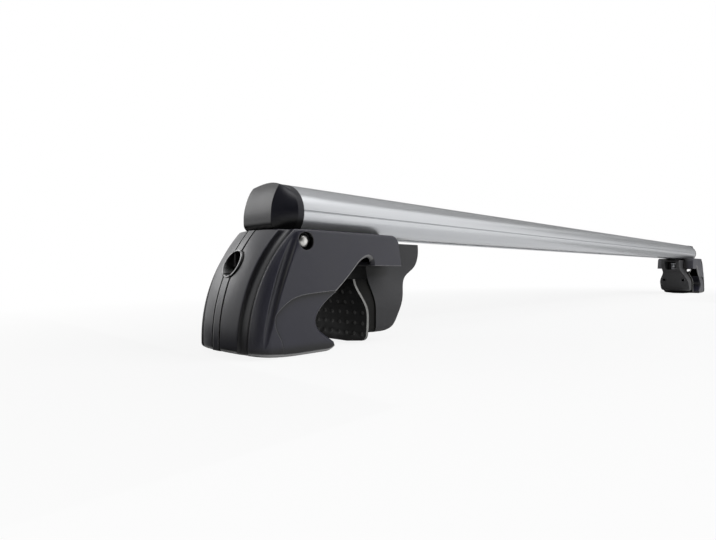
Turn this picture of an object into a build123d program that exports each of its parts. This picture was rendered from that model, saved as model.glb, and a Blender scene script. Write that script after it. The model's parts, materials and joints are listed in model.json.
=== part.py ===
from build123d import *
import os
from math import cos, radians, sin, sqrt, tan

# Roof rack crossbar: a domed aluminium bar on two clamp feet for raised roof rails.
# The bar runs along X and the hooks of the feet stand on Z = 0. The left foot is
# modelled at the -X end and mirrored to the other end. Lengths are millimetres.

os.makedirs("parts", exist_ok=True)

# Bar profile
bar_span = 1200.0  # over both end caps
bar_width = 46.2
bar_height = 32.0
bar_crown = 20.0  # elliptical top above the widest line
bar_base = 35.0  # flat underside
bar_wall = 2.2
slot_mouth = 11.0
slot_width = 22.0
slot_lip = 2.6
slot_room = 6.6  # height of the slot above its lips
slot_wall = 2.0
side_line = 0.5  # radius of the fine line along each side
line_rise = 1.0  # line above the widest level

# End caps
cap_length = 20.7
cap_collar = 5.0  # stretch that is flush with the bar
cap_face = 30.0  # width of the nose at its tip
cap_taper = 1.0  # nose narrower at its foot
cap_lead = 4.0  # tip of the nose before its face is trimmed
cap_brow = 1.7  # rise of the face's top edge
cap_turn = 5.0  # end face into the underside
cap_upright = 8.0  # upright foot of the end face
cap_corner = 50.0  # degrees of the bar's crown beside the nose's top
cap_lean = 9.0  # how far the end face leans in at its top
spigot_length = 15.0
spigot_clearance = 0.25

# Foot, outer form
foot_height = 78.0  # floor to the bar's underside
foot_width = 68.0
foot_overhang = 29.5  # reach of the heel beyond the bar's end
crown_radius = 77.5  # curve of the heel, seen from above
end_radius = 105.0  # curve of the outer end, seen from the side
heel_height = 9.0  # level at which the outer end is upright
heel_rise = 3.9  # underside of the heel
corner_radius = 14.0  # outer end into the sides
sole_back = 8.0
sole_front = 31.0
tip_reach = 39.8
tip_height = 3.5
throat_reach = 22.5
throat_height = 19.5
nose_reach = 36.0
nose_height = 35.6
arch_reach = 69.0
arch_rise = 5.8  # top of the arch above the arm's underside
arm_reach = 103.6
arm_lean = 11.0  # degrees, end of the arm off upright
arm_depth = 22.5
arm_round = 8.0
panel_depth = 1.6  # hook panel at its upper crease
panel_back = 10.2  # reach of the panel beyond the bar's end
rib_width = 10.5  # outer end to the groove behind it
rib_bulge = 2.3
seam_edge = 0.9
sole_edge = 3.0
top_edge = 1.8
arch_edge = 2.0

# Foot, walls and inner spaces
side_wall = 3.0
end_wall = 5.0
roof_wall = 4.1
sole_wall = 4.2
hook_wall = 4.5
arm_wall = 3.0
groove_radius = 4.4
groove_place = 23.4  # groove of the outer end, from the middle of the foot at the heel
groove_tilt = 2.6  # degrees, groove leaning out towards its top
groove_rise = 1.6  # axis of the groove off the surface
rib_groove_radius = 3.6
rib_tilt = 1.6  # degrees, groove leaning in towards its top
groove_edge = 1.2

# Core between the shells
core_width = 7.0
band_width = 7.0
ring_width = 17.6
ring_height = 17.4
ring_gap = 1.0
ring_proud = 0.6  # ring stands out of the strip
ring_drop = 21.2  # oval opening below the bar's underside
ring_depth = 9.0
key_width = 15.6
key_height = 15.4
flange_width = 18.0
block_start = 8.0
block_length = 16.0
block_width = 22.0
block_under = 6.5  # block's underside below the tension bolt's axis
seat_start = 28.0
seat_length = 24.0
seat_thickness = 4.9
window_room = 0.8  # round the washer and the lock's arm

# Fasteners
tension_drop = 17.0  # axis below the bar's underside
tension_radius = 4.0
tension_head_radius = 6.5
tension_head = 8.0
tension_length = 115.0
tension_key = 6.0
washer_radius = 8.0
washer_thickness = 1.6
running_clearance = 0.08
nut_width = 13.0
nut_thickness = 6.5
shell_bolt_reach = 13.6
shell_bolt_drop = 7.4  # below the top of the foot
shell_bolt_radius = 2.5
dome_radius = 4.7
dome_height = 2.9
dome_rim = 0.6
dome_recess_radius = 5.7
dome_recess = 4.4
bolt_edge = 0.7  # chamfers of the tension bolt and nut
bar_bolt_radius = 3.0
bar_bolt_head_radius = 5.2
bar_bolt_head = 3.2
bar_bolt_pitch = 12.0
bar_bolt_proud = 0.6  # past the threaded plate
plate_room = 1.6  # slot above the threaded plate
plate_margin = 1.0  # slot beside the threaded plate
fit_clearance = 0.2

# Lock in the rear shell
lock_reach = 7.8
lock_drop = 28.2  # lock below the bar's underside
lock_radius = 8.1
lock_sleeve = 1.7
lock_length = 20.0
lock_inset = 0.6
sleeve_proud = 0.2  # sleeve past the plug's face
sleeve_short = 0.5  # sleeve ends before the plug's shoulder
boss_radius = 12.5  # moulded seat, which stands in the groove behind the rib
boss_inset = 0.4  # seat below the side
boss_short = 0.8  # seat ends before the plug's shoulder
plug_rim = 0.9
plug_recess = 0.5  # face inside the rim
cam_thickness = 1.8
cam_angle = 28.0  # degrees, arm above level
cam_hub = 5.6
cam_arm = 15.0
cam_tab = 4.0
cam_tail = 5.0
cam_peg_short = 1.0  # peg ends inside the core's far face
cam_screw_radius = 1.5
cam_screw_head_radius = 3.4
cam_screw_head = 2.6
cam_screw_length = 6.0
driver_slot = 0.8
key_slot_length = 10.6
key_slot_width = 2.0
key_slot_depth = 6.0

# Inner jaw and its rubber pad
jaw_face = 85.0
jaw_reach = 148.5
jaw_bottom = 6.8
jaw_top_clearance = 0.4
neck_width = 33.0
plate_width = 54.0
plate_level = 22.0
jaw_clearance = 0.4
pocket_width = 20.0
pocket_height = 17.5
pocket_drop = 7.5  # pocket's floor below the tension bolt's axis
pocket_start = 108.0
nut_seat = 5.0
pad_top = 46.0
pad_bottom = 0.4
pad_bow = 1.4  # bottom edge higher at its ends
pad_thickness = 12.0
pad_bulge = 4.6
pad_plate = 2.2  # dimpled front of the pad
pad_rebate = 2.0  # block behind it set in
screw_spacing = 36.0
screw_level = 30.6
screw_radius = 2.0
screw_head_radius = 3.0
screw_head = 2.6
screw_seat = 12.0
screw_bite = 6.0

# Places that follow from the sizes above
bar_end = -bar_span / 2
core_half = core_width / 2
foot_half = foot_width / 2
roof = foot_height - roof_wall
arm_under = foot_height - arm_depth
channel_half = neck_width / 2 + jaw_clearance
block_end = block_start + block_length
bolt_level = foot_height - shell_bolt_drop
tension_level = foot_height - tension_drop
ring_level = foot_height - ring_drop
lock_level = foot_height - lock_drop
neck_level = arm_under + 0.5
widest = foot_height + bar_height - bar_crown
middle_level = (foot_height + heel_rise) / 2


def side_plane(y):
    """Upright plane along the bar at depth y: local x is inward from the bar's left end, local y is up."""
    return Plane(origin=(bar_end, y, 0), x_dir=(1, 0, 0), z_dir=(0, -1, 0))


def cross_plane(reach):
    """Plane square to the bar, a reach inward from its left end: local x is depth, local y is up."""
    return Plane(origin=(bar_end + reach, 0, 0), x_dir=(0, 1, 0), z_dir=(1, 0, 0))


def end_reach(height, inset=0.0):
    """Reach of the foot's curved outer end at a height, for a wall inset by a distance."""
    return end_radius - foot_overhang - sqrt((end_radius - inset) ** 2 - (height - heel_height) ** 2)


def end_curve(top, bottom, inset=0.0):
    """Curve of the outer end between two heights."""
    middle = (top + bottom) / 2
    return ThreePointArc(
        (end_reach(top, inset), top),
        (end_reach(middle, inset), middle),
        (end_reach(bottom, inset), bottom),
    )


def crown_reach(height, depth, inset=0.0):
    """Reach of the crowned outer end at a height and a depth from the foot's middle."""
    axis = crown_radius - foot_overhang
    return axis - sqrt((axis - end_reach(height, inset)) ** 2 - depth**2)


def groove_depth(height):
    """Depth of the outer end's groove from the foot's middle at a height."""
    return groove_place + (height - heel_rise) * tan(radians(groove_tilt))


def rib_depth(height):
    """Depth of the axis of the groove behind the rib at a height."""
    return foot_half + groove_rise - (height - middle_level) * tan(radians(rib_tilt))


def circle_through(first, second, third):
    """Centre and radius of the circle through three points."""
    (ax, ay), (bx, by), (cx, cy) = first, second, third
    twice = 2 * (ax * (by - cy) + bx * (cy - ay) + cx * (ay - by))
    a_square = ax**2 + ay**2
    b_square = bx**2 + by**2
    c_square = cx**2 + cy**2
    x = (a_square * (by - cy) + b_square * (cy - ay) + c_square * (ay - by)) / twice
    y = (a_square * (cx - bx) + b_square * (ax - cx) + c_square * (bx - ax)) / twice
    return x, y, sqrt((ax - x) ** 2 + (ay - y) ** 2)


def hook_curve():
    """Edge of the hook from its nose round the throat and tip, and along the sole to the heel."""
    lip = (throat_reach + 4.5, throat_height - 6.7)
    tip_top = (tip_reach - 1.4, tip_height + 1.9)
    lip_run = (tip_top[0] - lip[0], tip_top[1] - lip[1])
    Spline(
        (nose_reach, nose_height),
        (throat_reach + 4.6, throat_height + 9.2),
        (throat_reach, throat_height),
        lip,
        tangents=[(-0.85, -0.52), lip_run],
    )
    Line(lip, tip_top)
    TangentArc(tip_top, (tip_reach, tip_height), tangent=lip_run)
    TangentArc((sole_front, 0), (tip_reach, tip_height), tangent=(1, 0))
    Line((sole_front, 0), (sole_back, 0))
    TangentArc((sole_back, 0), (end_reach(heel_rise), heel_rise), tangent=(-1, 0))


def shell_outline():
    """Closed side outline of a shell: outer end, top, arm, arch and hook."""
    arch_top = (arch_reach, arm_under + arch_rise)
    arch_foot = (arch_reach + 0.8 * arch_rise, arm_under)
    Polyline(
        (end_reach(heel_rise), heel_rise),
        (-foot_overhang - side_wall, heel_rise),
        (-foot_overhang - side_wall, foot_height),
        (arm_reach - arm_round, foot_height),
    )
    corner = JernArc((arm_reach - arm_round, foot_height), (1, 0), arm_round, arm_lean - 90)
    arm_foot = (corner @ 1).X + ((corner @ 1).Y - arm_under) * tan(radians(arm_lean))
    Line(corner @ 1, (arm_foot, arm_under))
    Line((arm_foot, arm_under), arch_foot)
    TangentArc(arch_top, arch_foot, tangent=(1, 0.2))
    Spline(
        (nose_reach, nose_height),
        (0.65 * nose_reach + 0.35 * arch_top[0], 0.65 * nose_height + 0.35 * arch_top[1]),
        (0.35 * nose_reach + 0.65 * arch_top[0], 0.35 * nose_height + 0.65 * arch_top[1] + 1.4),
        arch_top,
        tangents=[(0.85, 0.52), (1, 0.2)],
    )
    hook_curve()


def bar_outline(inset=0.0):
    """Closed section of the bar, for a wall inset by a distance."""
    half = bar_width / 2 - inset
    base = bar_base / 2 - inset / 2
    floor = foot_height + inset
    crown = EllipticalCenterArc((0, widest), half, bar_crown - inset, 0, arc_size=180)
    TangentArc((half, widest), (base, floor), tangent=(0, -1))
    TangentArc((-half, widest), (-base, floor), tangent=(0, -1))
    Line((-base, floor), (base, floor))
    return crown


# Extruded bar with its hollow, slot and web
slot_roof = slot_lip + slot_room
box_height = slot_roof + slot_wall
box_width = slot_width + 2 * slot_wall
web_height = bar_height - box_height - bar_wall / 2
with BuildPart() as bar:
    with BuildSketch(cross_plane(cap_length)):
        with BuildLine():
            bar_outline()
        make_face()
        with BuildLine():
            bar_outline(bar_wall)
        make_face(mode=Mode.SUBTRACT)
        with Locations((0, foot_height)):
            Rectangle(box_width, box_height, align=(Align.CENTER, Align.MIN))
        with Locations((0, foot_height + box_height)):
            Rectangle(bar_wall, web_height, align=(Align.CENTER, Align.MIN))
        with Locations((0, foot_height + slot_lip)):
            Rectangle(slot_width, slot_room, align=(Align.CENTER, Align.MIN), mode=Mode.SUBTRACT)
        with Locations((0, foot_height)):
            Rectangle(slot_mouth, slot_lip, align=(Align.CENTER, Align.MIN), mode=Mode.SUBTRACT)
        with Locations((bar_width / 2, widest + line_rise), (-bar_width / 2, widest + line_rise)):
            Circle(side_line, mode=Mode.SUBTRACT)
    extrude(amount=bar_span - 2 * cap_length)

# End cap: flush collar, a boxier nose whose face leans in, and a spigot
face_top = foot_height + bar_height
shoulder = cap_length - cap_collar
nose_slope = sqrt(cap_lean**2 + bar_height**2)
nose_plane = Plane(
    origin=(bar_end - cap_lead, 0, foot_height),
    x_dir=(0, 1, 0),
    z_dir=(bar_height, 0, -cap_lean),
)
with BuildPart() as end_cap:
    with BuildSketch(cross_plane(shoulder)):
        with BuildLine():
            half = bar_width / 2
            EllipticalCenterArc((0, widest), half, bar_crown, 0, arc_size=cap_corner)
            EllipticalCenterArc((0, widest), half, bar_crown, cap_corner, arc_size=180 - 2 * cap_corner)
            EllipticalCenterArc((0, widest), half, bar_crown, 180 - cap_corner, arc_size=cap_corner)
            TangentArc((-half, widest), (-bar_base / 2, foot_height), tangent=(0, -1))
            Line((-bar_base / 2, foot_height), (bar_base / 2, foot_height))
            TangentArc((half, widest), (bar_base / 2, foot_height), tangent=(0, -1))
        make_face()
    with BuildSketch(nose_plane):
        with BuildLine():
            cheek = cap_face / 2
            brow = (cheek - 0.4, nose_slope - cap_brow)
            waist = nose_slope * (bar_height - bar_crown) / bar_height
            Line((cheek, waist), brow)
            ThreePointArc(brow, (0, nose_slope), (-brow[0], brow[1]))
            Line((-brow[0], brow[1]), (-cheek, waist))
            Line((-cheek, waist), (cap_taper - cheek, 0))
            Line((cap_taper - cheek, 0), (cheek - cap_taper, 0))
            Line((cheek - cap_taper, 0), (cheek, waist))
        make_face()
    loft(ruled=True)
    with BuildSketch(side_plane(bar_width)):
        with BuildLine():
            TangentArc((0, foot_height + cap_turn), (cap_turn, foot_height), tangent=(0, -1))
            Line((0, foot_height + cap_turn), (0, foot_height + cap_upright))
            TangentArc((0, foot_height + cap_upright), (cap_lean, face_top), tangent=(0, 1))
            Polyline((cap_lean, face_top), (shoulder, face_top), (shoulder, foot_height))
            Line((shoulder, foot_height), (cap_turn, foot_height))
        make_face()
    extrude(amount=2 * bar_width, mode=Mode.INTERSECT)
    with BuildSketch(cross_plane(shoulder)):
        with BuildLine():
            bar_outline()
        make_face()
    extrude(amount=cap_collar)
    with BuildSketch(cross_plane(cap_length)):
        with BuildLine():
            bar_outline(bar_wall + spigot_clearance)
        make_face()
        with Locations((0, foot_height)):
            Rectangle(
                box_width + 2 * spigot_clearance,
                box_height + spigot_clearance,
                align=(Align.CENTER, Align.MIN),
                mode=Mode.SUBTRACT,
            )
        with Locations((0, foot_height)):
            Rectangle(
                bar_wall + 2 * spigot_clearance,
                bar_height,
                align=(Align.CENTER, Align.MIN),
                mode=Mode.SUBTRACT,
            )
    extrude(amount=spigot_length)

# Core: oval ring, middle plate with its window, bolt block, seat and top flange
window_right = block_start
window_top = tension_level + washer_radius + window_room
window_under = lock_level - cam_arm - cam_tab - window_room
ring_end = end_reach(ring_level) + ring_depth / 2
block_bottom = tension_level - block_under
seat_end = seat_start + seat_length
with BuildPart() as core:
    with BuildSketch(cross_plane(-foot_overhang)):
        with Locations((0, ring_level)):
            Ellipse(ring_width / 2, ring_height / 2)
    extrude(amount=foot_overhang + ring_end)
    with BuildSketch(side_plane(foot_half)):
        with BuildLine():
            end_curve(foot_height, heel_rise, -ring_proud)
            Polyline(
                (end_reach(foot_height, -ring_proud), foot_height),
                (arm_reach, foot_height),
                (arm_reach, heel_rise),
                (end_reach(heel_rise, -ring_proud), heel_rise),
            )
        make_face()
    extrude(amount=foot_width, mode=Mode.INTERSECT)
    with BuildSketch(side_plane(core_half)):
        with BuildLine():
            end_curve(foot_height, heel_rise)
            Polyline(
                (end_reach(foot_height), foot_height),
                (block_end, foot_height),
                (block_end, block_bottom),
                (nose_reach - hook_wall, nose_height + hook_wall),
                (nose_reach, nose_height),
            )
            hook_curve()
        make_face()
        with BuildLine():
            end_curve(window_top, window_under, band_width)
            Polyline(
                (end_reach(window_top, band_width), window_top),
                (window_right, window_top),
                (window_right, window_under),
                (end_reach(window_under, band_width), window_under),
            )
        make_face(mode=Mode.SUBTRACT)
    extrude(amount=core_width)
    with BuildSketch(side_plane(block_width / 2)):
        with Locations((block_start, block_bottom)):
            Rectangle(block_length, roof - block_bottom, align=Align.MIN)
        with Locations((seat_start, roof - seat_thickness)):
            Rectangle(seat_length, seat_thickness, align=Align.MIN)
    extrude(amount=block_width)
    with BuildSketch(side_plane(flange_width / 2)):
        with Locations((block_start / 2, roof)):
            Rectangle(arm_reach - arm_wall - block_start / 2, roof_wall, align=Align.MIN)
    extrude(amount=flange_width)
    with BuildSketch(cross_plane(-foot_overhang)):
        with Locations((0, ring_level)):
            Ellipse(key_width / 2, key_height / 2)
    extrude(amount=foot_overhang + window_right, mode=Mode.SUBTRACT)
    with BuildSketch(cross_plane(block_start)):
        with Locations((0, tension_level)):
            Circle(tension_radius + running_clearance)
    extrude(amount=block_length, mode=Mode.SUBTRACT)
    with BuildSketch(side_plane(block_width / 2)):
        with Locations((shell_bolt_reach, bolt_level)):
            Circle(shell_bolt_radius + fit_clearance)
    extrude(amount=block_width, mode=Mode.SUBTRACT)
    with BuildSketch(Plane((bar_end, 0, roof - seat_thickness))):
        with Locations((seat_start + seat_length / 2, 0)):
            with GridLocations(bar_bolt_pitch, 0, 2, 1):
                Circle(bar_bolt_radius + fit_clearance)
    extrude(amount=seat_thickness + roof_wall, mode=Mode.SUBTRACT)

# Space inside the crowned outer end, and the same inset by the end wall
crown_axis = crown_radius - foot_overhang
crown_line = Axis((bar_end + crown_axis, 0, 0), (0, 0, 1))
crown_top = foot_height + side_wall
with BuildPart() as outer_form:
    with BuildSketch(side_plane(0)):
        with BuildLine():
            end_curve(crown_top, -side_wall)
            Polyline(
                (end_reach(crown_top), crown_top),
                (crown_axis, crown_top),
                (crown_axis, -side_wall),
                (end_reach(-side_wall), -side_wall),
            )
        make_face()
    revolve(axis=crown_line)
    with BuildSketch(side_plane(foot_width)):
        with Locations((crown_axis, -side_wall)):
            Rectangle(arm_reach, crown_top + side_wall, align=Align.MIN)
    extrude(amount=2 * foot_width)

with BuildPart() as inner_form:
    with BuildSketch(side_plane(0)):
        with BuildLine():
            end_curve(crown_top, -side_wall, end_wall)
            Polyline(
                (end_reach(crown_top, end_wall), crown_top),
                (crown_axis, crown_top),
                (crown_axis, -side_wall),
                (end_reach(-side_wall, end_wall), -side_wall),
            )
        make_face()
    revolve(axis=crown_line)
    with BuildSketch(side_plane(foot_width)):
        with Locations((crown_axis, -side_wall)):
            Rectangle(arm_reach, crown_top + side_wall, align=Align.MIN)
    extrude(amount=2 * foot_width)

# Hollow of a shell, with the gate that opens it to the arch
with BuildPart() as hollow:
    with BuildSketch(side_plane(-core_half)):
        floor_end = heel_rise + sole_wall
        gate = nose_height + hook_wall - 1.0
        with BuildLine():
            Polyline(
                (-foot_overhang, floor_end),
                (end_reach(floor_end, end_wall), floor_end),
                (sole_back, sole_wall),
                (throat_reach - hook_wall, sole_wall),
                (throat_reach - hook_wall, throat_height + hook_wall),
                (nose_reach - hook_wall, gate),
                (arch_reach + arch_rise, gate),
                (arch_reach + arch_rise, roof),
                (-foot_overhang, roof),
                close=True,
            )
        make_face()
    extrude(amount=foot_half - side_wall - core_half)
    add(inner_form.part, mode=Mode.INTERSECT)
    inner_edges = hollow.edges().filter_by_position(
        Axis.Y, side_wall - foot_half - 0.01, side_wall - foot_half + 0.01
    )
    fillet(inner_edges.sort_by(Axis.X)[0], corner_radius - end_wall)


# Front half of the foot's casing, shared by both shells
groove_x, groove_z, groove_curve = circle_through(
    (crown_reach(foot_height, groove_depth(foot_height)), foot_height),
    (crown_reach(middle_level, groove_depth(middle_level)), middle_level),
    (crown_reach(heel_rise, groove_depth(heel_rise)), heel_rise),
)
rib_top = end_reach(foot_height) + rib_width
rib_low = end_reach(heel_rise) + rib_width
rib_x, rib_z, rib_curve = circle_through(
    (rib_top, foot_height),
    ((rib_top + rib_low) / 2 - rib_bulge, middle_level),
    (rib_low, heel_rise),
)
hook_panel = Plane(
    origin=(bar_end, -foot_half, 0),
    x_dir=(1, 0, 0),
    z_dir=(0, -nose_height, panel_depth),
)
with BuildPart() as casing:
    with BuildSketch(side_plane(-core_half)):
        with BuildLine():
            shell_outline()
        make_face()
    extrude(amount=foot_half - core_half)
    add(outer_form.part, mode=Mode.INTERSECT)
    side_edges = casing.edges().filter_by_position(Axis.Y, -foot_half - 0.01, -foot_half + 0.01)
    fillet(side_edges.sort_by(Axis.X)[0], corner_radius)
    low_edges = casing.edges().filter_by_position(Axis.Z, -0.1, heel_rise + 0.1)
    low_edges = low_edges.filter_by_position(Axis.Y, -foot_half - 0.1, -core_half - 1.0)
    low_edges = low_edges.filter_by(Axis.Y, reverse=True)
    fillet(low_edges.filter_by_position(Axis.X, bar_end - foot_overhang, bar_end + sole_front), sole_edge)
    top_edges = casing.edges().filter_by_position(Axis.Z, foot_height - 0.1, foot_height + 0.1)
    top_edges = top_edges.filter_by_position(Axis.Y, -foot_half - 0.1, -core_half - 1.0)
    fillet(top_edges.filter_by(Axis.Y, reverse=True), top_edge)
    arch_edges = casing.edges().filter_by_position(Axis.Y, -foot_half - 0.01, -foot_half + 0.01)
    arch_edges = arch_edges.filter_by_position(Axis.X, bar_end + nose_reach, bar_end + arch_reach)
    chamfer(arch_edges.filter_by_position(Axis.Z, nose_height, arm_under + arch_rise), arch_edge)
    seam_edges = casing.edges().filter_by_position(Axis.Y, -core_half - 0.01, -core_half + 0.01)
    chamfer(seam_edges.sort_by(Axis.X)[0], seam_edge)
    groove_centre = (bar_end + groove_x, -groove_depth(groove_z), groove_z)
    with Locations(Location(groove_centre, (90 + groove_tilt, 0, 0))):
        Torus(groove_curve + groove_rise, groove_radius, mode=Mode.SUBTRACT)
    rib_centre = (bar_end + rib_x, -rib_depth(rib_z), rib_z)
    with Locations(Location(rib_centre, (90 - rib_tilt, 0, 0))):
        Torus(rib_curve, rib_groove_radius, mode=Mode.SUBTRACT)
    for radius in (groove_radius, rib_groove_radius):
        grooves = casing.faces().filter_by(GeomType.TORUS).filter_by(lambda face: face.radii[1] == radius)
        fillet(grooves.edges().filter_by(lambda edge: edge.length > core_width * 4), groove_edge)
    with BuildSketch(hook_panel):
        with BuildLine():
            crease_end = (nose_reach + 12.0, nose_height + 3.6)
            crease_back = (-panel_back, throat_height + 3.0)
            crease_low = (sole_back - 10.0, -sole_edge)
            Spline(
                crease_end,
                (nose_reach - 15.6, nose_height + 2.3),
                (sole_back - 7.4, nose_height - 1.8),
                (4.0 - panel_back, throat_height + 9.6),
                crease_back,
                tangents=[(-1, -0.02), (0, -1)],
            )
            Spline(
                crease_back,
                (5.0 - panel_back, throat_height - 10.0),
                crease_low,
                tangents=[(0, -1), (0.55, -1)],
            )
            Polyline(crease_low, (crease_end[0], -sole_edge), crease_end)
        make_face()
    extrude(amount=2 * panel_depth, mode=Mode.SUBTRACT)
    add(hollow.part, mode=Mode.SUBTRACT)
    with BuildSketch(side_plane(-core_half)):
        with Locations((arch_reach - arm_wall, arm_under)):
            Rectangle(arm_reach - arch_reach + arm_round + arm_wall, roof - arm_under, align=Align.MIN)
    extrude(amount=channel_half - core_half, mode=Mode.SUBTRACT)
    with BuildSketch(side_plane(-channel_half - arm_wall)):
        with Locations((arch_reach, arm_under + arm_wall)):
            Rectangle(arm_reach - arch_reach - arm_wall, roof - arm_under - arm_wall, align=Align.MIN)
    extrude(amount=foot_half - side_wall - channel_half - arm_wall, mode=Mode.SUBTRACT)
    with BuildSketch(side_plane(-core_half)):
        with Locations((block_start / 2, roof)):
            Rectangle(arm_reach - arm_wall - block_start / 2, roof_wall, align=Align.MIN)
    extrude(amount=flange_width / 2 + fit_clearance - core_half, mode=Mode.SUBTRACT)
    with BuildSketch(cross_plane(-foot_overhang)):
        with Locations((0, ring_level)):
            Ellipse(ring_width / 2 + ring_gap, ring_height / 2 + ring_gap)
    extrude(amount=foot_overhang + ring_end, mode=Mode.SUBTRACT)
    with BuildSketch(side_plane(-block_width / 2)):
        with Locations((shell_bolt_reach, bolt_level)):
            Circle(dome_recess_radius + side_wall)
        with Locations((shell_bolt_reach, roof)):
            Rectangle(
                2 * (dome_recess_radius + side_wall),
                2 * (dome_recess_radius + side_wall),
                align=(Align.CENTER, Align.MIN),
                mode=Mode.SUBTRACT,
            )
    extrude(amount=foot_half - side_wall - block_width / 2)
    with BuildSketch(side_plane(-block_width / 2)):
        with Locations((shell_bolt_reach, bolt_level)):
            Circle(shell_bolt_radius + fit_clearance)
    extrude(amount=foot_half - block_width / 2, mode=Mode.SUBTRACT)
    with BuildSketch(side_plane(dome_recess - foot_half)):
        with Locations((shell_bolt_reach, bolt_level)):
            Circle(dome_recess_radius)
    extrude(amount=dome_recess, mode=Mode.SUBTRACT)

with BuildPart() as front_shell:
    add(casing.part)

# Rear half of the casing, with the seat of the lock
sleeve_radius = lock_radius + lock_sleeve
lock_face = foot_half - lock_inset
lock_shoulder = lock_face - lock_length
with BuildPart() as rear_shell:
    add(mirror(casing.part, about=Plane.XZ))
    with BuildSketch(side_plane(foot_half - boss_inset)):
        with Locations((lock_reach, lock_level)):
            Circle(boss_radius)
    extrude(amount=foot_half - boss_inset - lock_shoulder - boss_short)
    with BuildSketch(side_plane(foot_half)):
        with Locations((lock_reach, lock_level)):
            Circle(sleeve_radius + fit_clearance / 2)
    extrude(amount=foot_half - lock_shoulder - boss_short, mode=Mode.SUBTRACT)

# Bolt through both shells and the core, and the dome nut on its other end
dome_seat = foot_half - dome_recess
bolt_axis = Axis((bar_end + shell_bolt_reach, 0, bolt_level), (0, 1, 0))
bolt_section = Plane((bar_end + shell_bolt_reach, 0, bolt_level))
with BuildPart() as shell_bolt:
    with BuildSketch(bolt_section):
        with BuildLine():
            Line((0, dome_seat), (dome_radius, dome_seat))
            Line((dome_radius, dome_seat), (dome_radius, dome_seat + dome_rim))
            TangentArc(
                (dome_rim, dome_seat + dome_height), (dome_radius, dome_seat + dome_rim), tangent=(1, 0)
            )
            Line((dome_rim, dome_seat + dome_height), (0, dome_seat + dome_height))
            Line((0, dome_seat + dome_height), (0, dome_seat))
        make_face()
    revolve(axis=bolt_axis)
    with BuildSketch(side_plane(dome_seat)):
        with Locations((shell_bolt_reach, bolt_level)):
            Circle(shell_bolt_radius)
    extrude(amount=2 * dome_seat + dome_height / 2)
    with BuildSketch(side_plane(dome_seat + dome_height)):
        with Locations((shell_bolt_reach, bolt_level)):
            RegularPolygon(shell_bolt_radius / 2, 6)
    extrude(amount=dome_height / 2, mode=Mode.SUBTRACT)

with BuildPart() as shell_nut:
    with BuildSketch(bolt_section):
        with BuildLine():
            Line((0, -dome_seat), (dome_radius, -dome_seat))
            Line((dome_radius, -dome_seat), (dome_radius, -dome_seat - dome_rim))
            TangentArc(
                (dome_rim, -dome_seat - dome_height), (dome_radius, -dome_seat - dome_rim), tangent=(1, 0)
            )
            Line((dome_rim, -dome_seat - dome_height), (0, -dome_seat - dome_height))
            Line((0, -dome_seat - dome_height), (0, -dome_seat))
        make_face()
    revolve(axis=bolt_axis)
    with BuildSketch(side_plane(-dome_seat)):
        with Locations((shell_bolt_reach, bolt_level)):
            Circle(shell_bolt_radius + running_clearance)
    extrude(amount=dome_height / 2 + fit_clearance, mode=Mode.SUBTRACT)

# Two bolts up into the bar's slot, and the threaded plate they pull on
seat_under = roof - seat_thickness
seat_middle = seat_start + seat_length / 2
plate_floor = foot_height + slot_lip
plate_thickness = slot_room - plate_room
with BuildPart() as bar_bolts:
    with BuildSketch(Plane((bar_end, 0, seat_under))):
        with Locations((seat_middle, 0)):
            with GridLocations(bar_bolt_pitch, 0, 2, 1):
                Circle(bar_bolt_head_radius)
    extrude(amount=-bar_bolt_head)
    chamfer(bar_bolts.edges().group_by(Axis.Z)[0], bar_bolt_head / 3)
    with BuildSketch(Plane((bar_end, 0, seat_under))):
        with Locations((seat_middle, 0)):
            with GridLocations(bar_bolt_pitch, 0, 2, 1):
                Circle(bar_bolt_radius)
    extrude(amount=plate_floor + plate_thickness + bar_bolt_proud - seat_under)
    with BuildSketch(Plane((bar_end, 0, seat_under - bar_bolt_head))):
        with Locations((seat_middle, 0)):
            with GridLocations(bar_bolt_pitch, 0, 2, 1):
                RegularPolygon(0.75 * bar_bolt_radius, 6)
    extrude(amount=0.6 * bar_bolt_head, mode=Mode.SUBTRACT)

with BuildPart() as bar_nut_plate:
    with BuildSketch(Plane((bar_end + seat_middle, 0, plate_floor))):
        Rectangle(3.2 * bar_bolt_pitch, slot_width - 2 * plate_margin)
        with GridLocations(bar_bolt_pitch, 0, 2, 1):
            Circle(bar_bolt_radius + running_clearance, mode=Mode.SUBTRACT)
    extrude(amount=plate_thickness)

# Tension bolt through the block, with its washer and the square nut held in the jaw
washer_face = block_start - washer_thickness
head_face = washer_face - tension_head
with BuildPart() as tension_bolt:
    with BuildSketch(cross_plane(head_face)):
        with Locations((0, tension_level)):
            Circle(tension_head_radius)
    extrude(amount=tension_head)
    chamfer(tension_bolt.edges().group_by(Axis.X)[0], bolt_edge)
    with BuildSketch(cross_plane(washer_face)):
        with Locations((0, tension_level)):
            Circle(tension_radius)
    extrude(amount=tension_length)
    chamfer(tension_bolt.edges().group_by(Axis.X)[-1], bolt_edge)
    with BuildSketch(cross_plane(head_face)):
        with Locations((0, tension_level)):
            RegularPolygon(tension_key / 2, 6, major_radius=False)
    extrude(amount=tension_head / 2, mode=Mode.SUBTRACT)

with BuildPart() as tension_washer:
    with BuildSketch(cross_plane(washer_face)):
        with Locations((0, tension_level)):
            Circle(washer_radius)
            Circle(tension_radius + running_clearance, mode=Mode.SUBTRACT)
    extrude(amount=washer_thickness)

nut_start = pocket_start - nut_seat
with BuildPart() as tension_nut:
    with BuildSketch(cross_plane(nut_start)):
        with Locations((0, tension_level)):
            Rectangle(nut_width, nut_width)
            Circle(tension_radius + running_clearance, mode=Mode.SUBTRACT)
    extrude(amount=nut_thickness)
    chamfer(tension_nut.edges().filter_by(Axis.X), bolt_edge)


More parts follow.
